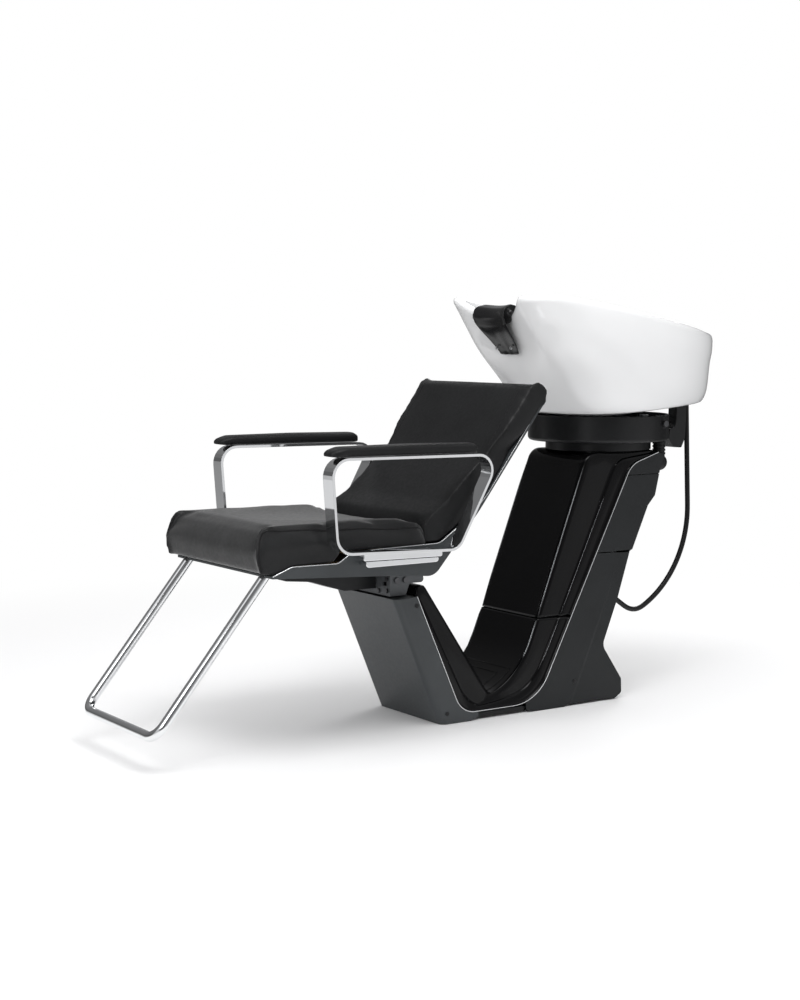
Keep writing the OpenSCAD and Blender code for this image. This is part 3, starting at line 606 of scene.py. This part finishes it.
# ------------------------------------------------------------------ neck rest: saddle over the notch and a tongue down the wall
def neck_rest():
    path = resample(line([(289, 957, 0), (287, 967, 6), (264, 972, 10), (241, 965, 10), (235, 945, 12), (243, 928, 10), (252, 915, 14), (289, 866, 8), (294, 857, 0)], 5), 46)
    width = lambda z, t: np.interp(t, [0, .18, .31, .43, .53, .62, .80, .94, 1], [52, 60, 62, 63, 62, 58, 48, 40, 38])
    k = 33
    rings = []
    for i, (y, z) in enumerate(path):
        t = i / (len(path) - 1)
        w = width(z, t)
        tan = unit(path[min(i + 1, len(path) - 1)] - path[max(i - 1, 0)])
        n2 = np.array([-tan[1], tan[0]])  # to the left of travel: into the wall
        th = 8.5 if t < .6 else 8.5 - 4.5 * smooth01(np.array((t - .6) / .3))
        th = float(th)
        fol = float(1 - smooth01(np.array((t - .5) / .35)))
        row = []
        for j in range(k):
            u = -1 + 2 * j / (k - 1)
            x = w * u
            edge = math.sqrt(max(0, 1 - abs(u) ** 6))
            lift = 22 * (x / 127) ** 2 * fol
            fwd = -46 * (x / 127) ** 2 * fol
            valley = 3.0 * math.exp(-(u / .34) ** 2) * (1 - fol)
            row.append((x, y + fwd + valley * .7 - n2[0] * th * .5 * edge, z + lift - n2[1] * th * .5 * edge))
        for j in range(k - 1, -1, -1):
            u = -1 + 2 * j / (k - 1)
            x = w * u
            edge = math.sqrt(max(0, 1 - abs(u) ** 6))
            lift = 22 * (x / 127) ** 2 * fol
            fwd = -46 * (x / 127) ** 2 * fol
            row.append((x, y + fwd + n2[0] * th * .5 * edge, z + lift + n2[1] * th * .5 * edge))
        rings.append(np.array(row) * MM)
    v, f = loft(rings)
    return add("neck_rest_gel", v, f, "basin_unit", "neck_gel", replaces=("neck_rest",), mods=(("WELD", dict(merge_threshold=.00002)), ("SUBSURF", dict(levels=1, render_levels=1))))


neck_rest()


def neck_rest_core():
    """Solid gel under the saddle, so that its ends are closed down onto the rim."""
    prof = loop([(244, 927, 4), (237.5, 945, 8), (242, 962, 8), (264, 969, 10), (285, 964, 5), (288, 956, 3), (281, 948, 3), (268, 944, 3), (258, 930, 4)], 4)
    rings = []
    for x in [-59.2] + list(np.linspace(-58.6, 58.6, 21)) + [59.2]:
        k = (x / 127) ** 2
        q = inset(prof, 1.2) if abs(x) > 59 else prof
        rings.append(np.stack([np.full(len(q), x), q[:, 0] - 46 * k, q[:, 1] + 22 * k], 1) * MM)
    v, f = loft(rings)
    add("neck_rest_core", v, f, "basin_unit", "neck_gel")


neck_rest_core()


# ------------------------------------------------------------------ gloss black shells
def trim_y(z):
    return 325 + (z - 107) * .5192


def col_y(z):
    return 298 + (z - 234) / 2.576


SEAM = 222
trim_low = line([(-69, 301, 0), (55, 20, 60), (280, 20, 117), (trim_y(SEAM - 1.5), SEAM - 1.5, 0)], 12)
trim_up = line([(trim_y(SEAM + 1.5), SEAM + 1.5, 0), (572, 584, 60), (662, 612, 0)], 12)
arc = [(85.6 + 200 * math.cos(math.radians(a)), 242.4 + 200 * math.sin(math.radians(a))) for a in np.arange(-70, -20.9, 3.5)]
pod_low = np.vstack([line([(-64, 303, 0), (-60, 331, 6), (-38, 331, 12), (148, 57, 0)], 6), arc, [(col_y(SEAM - 1.5), SEAM - 1.5)]])
pod_up = line([(col_y(SEAM + 1.5), SEAM + 1.5, 0), (447, 618, 38), (656, 618, 8), (676, 607, 0)], 8)


def by_keys(p, keys, counts):
    """Resample a path so that it passes each key point after a set number of steps."""
    p = resample(p, 700)
    idx = [0] + [int(np.argmin(np.linalg.norm(p - np.array(k), axis=1))) for k in keys] + [len(p) - 1]
    out = []
    for a, b, n in zip(idx[:-1], idx[1:], counts):
        out.append(resample(p[a:b + 1], n + 1)[:-1])
    return np.vstack(out + [p[-1:]])


def shell(name, pod, trim, pk, tk, counts, node):
    P, T = by_keys(pod, pk, counts), by_keys(trim, tk, counts)
    # section from the centre out: share of the way from pod to trim, and x
    sec = [(0, 0), (0, 60), (0, 100), (.0, 108), (.012, 112.5), (.05, 115.4), (.12, 116.6), (.40, 118.2), (.62, 119.2), (.655, 119.5), (.675, 120.6), (.69, 123.0), (.72, 124.0), (.90, 125.2), (.965, 126.0), (.985, 127.6), (1.0, 130.5)]
    full = [(s, -x) for s, x in sec[:0:-1]] + sec
    rows = []
    for a, b in zip(P, T):
        rows.append([((x) * MM, (a[0] + (b[0] - a[0]) * s) * MM, (a[1] + (b[1] - a[1]) * s) * MM) for s, x in full])
    n, k = len(rows), len(full)
    verts = [v for r in rows for v in r]
    faces = [(i * k + j, i * k + j + 1, (i + 1) * k + j + 1, (i + 1) * k + j) for i in range(n - 1) for j in range(k - 1)]
    o = add(name, verts, faces, "base", "gloss_shell", replaces=(node,), mods=(("SOLIDIFY", dict(thickness=.003, offset=-1.0)),))
    return o


sl = shell("inner_shell_lower_gloss", pod_low, trim_low, [(-38, 331), (148, 57), (260, 142)], [(-58, 276), (95, 22), (300, 60)], [6, 40, 26, 20], "inner_shell_lower")
su = shell("inner_shell_upper_gloss", pod_up, trim_up, [(440, 598), (470, 618)], [(545, 540), (590, 588)], [60, 12, 24], "inner_shell_upper")
for o in (sl, su):
    # outward means towards the opening of the U: forward and up
    me = o.data
    mid = [p for p in me.polygons if abs(p.center.x) < .03 and .25 < p.center.z < .5 and p.center.y > .2] or [p for p in me.polygons if abs(p.center.x) < .03 and p.center.z < .09]
    if mid and (mid[0].normal.y > 0 if mid[0].center.z > .2 else mid[0].normal.z < 0):
        me.flip_normals()

# moulded edges running down the column, one on the raised centre, one beside the trim; their grey metallic colour is a
# painted highlight for the light the black shell's edges catch
def moulded_edge(name, pod, trim, share, x, z0, z1, tk, r):
    lo = [tuple(p) for p in resample(pod, 900) if z0 <= p[1] <= z1 and p[0] > 200]
    q = []
    for y, z in lo:
        d = np.linalg.norm(trim - np.array([y, z]), axis=1)
        t = trim[int(np.argmin(np.abs(trim[:, 1] - z) + (trim[:, 0] < y) * 9))]
        q.append((x, y + (t[0] - y) * share, z + (t[1] - z) * share))
    q = resample(q, 60)
    for s, side in ((1, "left"), (-1, "right")):
        w = q * np.array([s, 1, 1])
        n = len(w)
        rad = [max(.00012, r * min(1, 6 * min(i, n - 1 - i) / n)) for i in range(n)]
        tube(name + "_" + side, w * MM, r, "base", "shell_edge_painted_highlight", seg=8, radii=rad)


TL, TU = resample(trim_low, 900), resample(trim_up, 900)
moulded_edge("edge_centre_upper", pod_up, TU, .006, 112.4, 232, 582, None, .0015)
moulded_edge("edge_centre_lower", pod_low, TL, .006, 112.4, 128, 218, None, .0015)
moulded_edge("edge_flank_upper", pod_up, TU, .690, 123.0, 228, 540, None, .0006)
moulded_edge("edge_flank_lower", pod_low, TL, .690, 123.0, 110, 218, None, .0006)


# raised beads on the floor of the tray
def bead(name, x0, x1, y0, y1):
    q = []
    low = resample(pod_low, 700)
    low = low[(low[:, 0] > 100) & (low[:, 1] < 200)]

    def zz(y):
        return float(np.interp(y, low[:, 0], low[:, 1])) + .4
    for x in np.linspace(x0, x1, 12):
        q.append((x, y0, zz(y0)))
    for y in np.linspace(y0, y1, 12)[1:]:
        q.append((x1, y, zz(y)))
    for x in np.linspace(x1, x0, 12)[1:]:
        q.append((x, y1, zz(y1)))
    for y in np.linspace(y1, y0, 12)[1:-1]:
        q.append((x0, y, zz(y)))
    tube(name, np.array(q) * MM, .0014, "base", "gloss_black", closed=True, seg=8)


bead("tray_bead_outer", -92, 92, 158, 228)
bead("tray_bead_inner", -58, 58, 170, 214)


# ------------------------------------------------------------------ lower side panels with the pressed fold
rear_line = line([(681, 604, 0), (665, 567, 30), (650, 505, 8), (627, 481, 8), (577, 373, 3), (569, 366, 3), (532, 254, 60), (485, 140, 26), (548, 50, 8), (549, 14, 10), (526, 1, 0)], 6)


def side_panel(s, side):
    t = line([(150, 20, 0), (280, 20, 117), (trim_y(371), 371, 0)], 14)
    outline = [tuple(p) for p in t if p[0] >= 244] + [tuple(p) for p in rear_line if p[1] < 371] + [(490, 5), (375, 5), (364, 0), (277, 0), (249, 4)]
    bm = bmesh.new()
    vs = [bm.verts.new((s * .134, y * MM, z * MM)) for y, z in outline]
    bm.faces.new(vs)
    bmesh.ops.recalc_face_normals(bm, faces=bm.faces)
    d = unit(np.array([480 - 379.0, 230.0]))
    nrm = Vector((0, d[1], -d[0]))
    for off in (-.012, 0.0, .006, .04):
        geom = bm.verts[:] + bm.edges[:] + bm.faces[:]
        bmesh.ops.bisect_plane(bm, geom=geom, plane_co=Vector((0, .379, 0)) + nrm * off, plane_no=nrm)
    for v in bm.verts:
        dist = (v.co - Vector((0, .379, 0))).dot(nrm)
        if dist > 0:
            v.co.x -= s * (min(dist, .006) * .16 + max(0, dist - .006) * .018)
    bmesh.ops.triangulate(bm, faces=bm.faces)
    me = bpy.data.meshes.new("side_panel_pressed_" + side)
    bm.to_mesh(me)
    bm.free()
    if np.mean([p.normal.x * p.area for p in me.polygons]) * s < 0:
        me.flip_normals()
    me.materials.append(M["panel_side"])
    o = bpy.data.objects.new("side_panel_pressed_" + side, me)
    COL.objects.link(o)
    md = o.modifiers.new("thick", "SOLIDIFY")
    md.thickness, md.offset = .0028, -1
    bv = o.modifiers.new("bev", "BEVEL")
    bv.width, bv.segments, bv.limit_method, bv.angle_limit = .0007, 2, "ANGLE", math.radians(50)
    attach(o, "base")
    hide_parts("side_panel_" + side)


side_panel(1, "left")
side_panel(-1, "right")


# ------------------------------------------------------------------ bright bead along the chair shell
shell_top = line([(-500, 397, 0), (-452, 415, 14), (-337, 414, 14), (-300, 437, 14), (-70, 441, 40), (12, 495, 60), (63, 545, 200), (217, 748, 0)], 6)
for s, side in ((1, "left"), (-1, "right")):
    p = resample(shell_top, 120)
    tube("shell_bead_" + side, np.stack([np.full(len(p), s * 222.6), p[:, 0], p[:, 1] - .2], 1) * MM, .0010, "chair", "bright_trim", seg=8)

# ------------------------------------------------------------------ shower hose
H = [(838, 728)] + [(838 + 264 * math.sin(math.radians(2.1)) * k / 8, 728 - 264 * math.cos(math.radians(2.1)) * k / 8) for k in range(1, 9)]
H += [(574 + 274 * math.cos(math.radians(a)), 453 + 274 * math.sin(math.radians(a))) for a in np.linspace(1.0, -63, 40)]
H += [(670.6 + 58 * math.cos(math.radians(a)), 259 + 58 * math.sin(math.radians(a))) for a in np.linspace(-66, -125, 20)]
e = np.array(H[-1])
H += [tuple(e + np.array([-math.sin(math.radians(55)), math.cos(math.radians(55))]) * k) for k in (15, 35, 60, 90, 120, 139)]
Hp = resample(H, 170)
Hs = Hp.copy()
for _ in range(12):
    Hs[1:-1] = (Hs[:-2] + 2 * Hs[1:-1] + Hs[2:]) / 4
hose = tube("shower_hose_flex", np.stack([np.full(len(Hs), 40.0), Hs[:, 0], Hs[:, 1]], 1) * MM, .0065, None, "hose_rubber", seg=20, replaces=("shower_hose",))
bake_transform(hose)

# ------------------------------------------------------------------ a weld on the carried CAD nodes
for name in ("front_cover", "upper_panel_left", "upper_panel_right", "head_panel_left", "head_panel_right", "arm_left", "arm_right", "seat_bracket"):
    o = frame["nodes"][name]
    w = o.modifiers.new("weld", "WELD")
    w.merge_threshold = .00001

# ------------------------------------------------------------------ stage
CARDS = ((0.0, .10), (.055, .10), (.082, .34), (.105, .92), (.13, .80), (.155, .12), (.225, .08), (.262, 1.0), (.335, 1.0), (.375, .16), (.47, .22),
         (.545, .85), (.63, 1.0), (.70, .30), (.74, .10), (.87, .08), (.905, .55), (.94, .45), (.975, .10))


SKY = ((0.0, .22), (.20, .18), (.262, .9), (.335, .9), (.375, .14), (.47, .2), (.545, .7), (.63, .8), (.70, .25), (.74, .08), (.87, .08), (.905, .5), (.94, .4), (.975, .22))


def compass(N, L, x, y, cards=CARDS):
    """Brightness of the studio round the object, as light and dark cards."""
    at = N.new("ShaderNodeMath")
    at.operation = "ARCTAN2"
    L.new(y, at.inputs[0])
    L.new(x, at.inputs[1])
    mr = N.new("ShaderNodeMapRange")
    mr.inputs["From Min"].default_value, mr.inputs["From Max"].default_value = -math.pi, math.pi
    L.new(at.outputs[0], mr.inputs["Value"])
    r = N.new("ShaderNodeValToRGB")
    r.color_ramp.interpolation = "EASE"
    e = r.color_ramp.elements
    e[0].position, e[0].color = cards[0][0], (cards[0][1],) * 3 + (1,)
    e[1].position, e[1].color = 1.0, (cards[0][1],) * 3 + (1,)
    for pos, c in cards[1:]:
        q = e.new(pos)
        q.color = (c, c, c * 1.01, 1)
    L.new(mr.outputs["Result"], r.inputs["Fac"])
    return r.outputs["Color"]


def stage_floor():
    me = bpy.data.meshes.new("floor")
    me.from_pydata([(-30, -30, -.0006), (30, -30, -.0006), (30, 30, -.0006), (-30, 30, -.0006)], [], [(0, 1, 2, 3)])
    o = bpy.data.objects.new("floor", me)
    COL.objects.link(o)
    m, nt, b = principled("floor")
    N, L = nt.nodes, nt.links
    b.inputs["Base Color"].default_value = (.86, .86, .865, 1)
    b.inputs["Roughness"].default_value = .9
    b.inputs["Specular IOR Level"].default_value = .1
    em = N.new("ShaderNodeEmission")
    em.inputs["Color"].default_value = (1, 1, 1, 1)
    co = N.new("ShaderNodeTexCoord")
    vm = N.new("ShaderNodeVectorMath")
    vm.operation = "DISTANCE"
    vm.inputs[1].default_value = (0, .1, 0)
    L.new(co.outputs["Object"], vm.inputs[0])
    mr = N.new("ShaderNodeMapRange")
    mr.interpolation_type = "SMOOTHSTEP"
    mr.inputs["From Min"].default_value, mr.inputs["From Max"].default_value = 1.1, 2.6
    L.new(vm.outputs["Value"], mr.inputs["Value"])
    mx = N.new("ShaderNodeMixShader")
    L.new(mr.outputs["Result"], mx.inputs["Fac"])
    L.new(b.outputs["BSDF"], mx.inputs[1])
    L.new(em.outputs["Emission"], mx.inputs[2])
    # polished metal and gloss black see the light and dark cards in the floor too, not a white sheet
    sp = N.new("ShaderNodeSeparateXYZ")
    L.new(co.outputs["Object"], sp.inputs[0])
    gl = N.new("ShaderNodeEmission")
    L.new(compass(N, L, sp.outputs["X"], sp.outputs["Y"]), gl.inputs["Color"])
    gl.inputs["Strength"].default_value = .8
    far = N.new("ShaderNodeMapRange")
    far.interpolation_type = "SMOOTHSTEP"
    far.inputs["From Min"].default_value, far.inputs["From Max"].default_value = .9, 1.8
    L.new(vm.outputs["Value"], far.inputs["Value"])
    lp = N.new("ShaderNodeLightPath")
    fm = N.new("ShaderNodeMath")
    fm.operation = "MULTIPLY"
    L.new(lp.outputs["Is Glossy Ray"], fm.inputs[0])
    L.new(far.outputs["Result"], fm.inputs[1])
    my = N.new("ShaderNodeMixShader")
    L.new(fm.outputs[0], my.inputs["Fac"])
    L.new(mx.outputs["Shader"], my.inputs[1])
    L.new(gl.outputs["Emission"], my.inputs[2])
    L.new(my.outputs["Shader"], N["Material Output"].inputs["Surface"])
    me.materials.append(m)


stage_floor()
w = bpy.data.worlds.new("studio")
bpy.context.scene.world = w
w.use_nodes = True
N, L = w.node_tree.nodes, w.node_tree.links
N.clear()
out = N.new("ShaderNodeOutputWorld")
tc = N.new("ShaderNodeTexCoord")
sep = N.new("ShaderNodeSeparateXYZ")
L.new(tc.outputs["Generated"], sep.inputs[0])
ramp = N.new("ShaderNodeValToRGB")
mr = N.new("ShaderNodeMapRange")
mr.inputs["From Min"].default_value, mr.inputs["From Max"].default_value = -1, 1
L.new(sep.outputs["Z"], mr.inputs["Value"])
L.new(mr.outputs["Result"], ramp.inputs["Fac"])
els = ramp.color_ramp.elements
els[0].position, els[0].color = 0.0, (.55, .55, .56, 1)
els[1].position, els[1].color = 1.0, (1.0, 1.0, 1.0, 1)
for pos, c in ((.50, .62), (.56, .50), (.64, .70), (.80, 1.0)):
    q = els.new(pos)
    q.color = (c, c, c * 1.01, 1)
# vertical cards round the studio: bright and dark bands for the polished metal
mul = N.new("ShaderNodeMix")
mul.data_type, mul.blend_type = "RGBA", "MULTIPLY"
mul.inputs["Factor"].default_value = 1
L.new(ramp.outputs["Color"], mul.inputs["A"])
L.new(compass(N, L, sep.outputs["X"], sep.outputs["Y"], SKY), mul.inputs["B"])
lp = N.new("ShaderNodeLightPath")
bg_r, bg_d, bg_c = (N.new("ShaderNodeBackground") for _ in range(3))
L.new(mul.outputs["Result"], bg_r.inputs["Color"])
bg_r.inputs["Strength"].default_value = 1.0
bg_d.inputs["Color"].default_value, bg_d.inputs["Strength"].default_value = (1, 1, 1, 1), .80
bg_c.inputs["Color"].default_value, bg_c.inputs["Strength"].default_value = (1, 1, 1, 1), 1.0
m1, m2 = N.new("ShaderNodeMixShader"), N.new("ShaderNodeMixShader")
L.new(lp.outputs["Is Diffuse Ray"], m1.inputs["Fac"])
L.new(bg_r.outputs[0], m1.inputs[1])
L.new(bg_d.outputs[0], m1.inputs[2])
L.new(lp.outputs["Is Camera Ray"], m2.inputs["Fac"])
L.new(m1.outputs[0], m2.inputs[1])
L.new(bg_c.outputs[0], m2.inputs[2])
L.new(m2.outputs[0], out.inputs["Surface"])


def area(name, loc, target, size, power, size_y=None):
    d = bpy.data.lights.new(name, "AREA")
    d.energy, d.size, d.shape = power, size, "RECTANGLE"
    d.size_y = size_y or size
    o = bpy.data.objects.new(name, d)
    o.location = loc
    o.rotation_euler = (Vector(target) - Vector(loc)).to_track_quat("-Z", "Y").to_euler()
    COL.objects.link(o)
    return o


area("key_top", (.9, -.4, 3.0), (0, .1, .4), 1.8, 46)
area("fill_front", (1.6, -2.6, 1.7), (0, 0, .4), 1.2, 16)
area("rim_back", (-1.6, 2.2, 1.9), (0, .3, .6), 1.0, 20)

cam_d = bpy.data.cameras.new("camera")
cam_d.lens, cam_d.sensor_width, cam_d.sensor_fit = 63.19, 36, "AUTO"
cam = bpy.data.objects.new("camera", cam_d)
cam.location = (3.4252, -2.3112, .9117)
cam.rotation_euler = (math.radians(84.534), 0, math.radians(56.324))
COL.objects.link(cam)
bpy.context.scene.camera = cam
bpy.context.scene.view_settings.view_transform = "Standard"
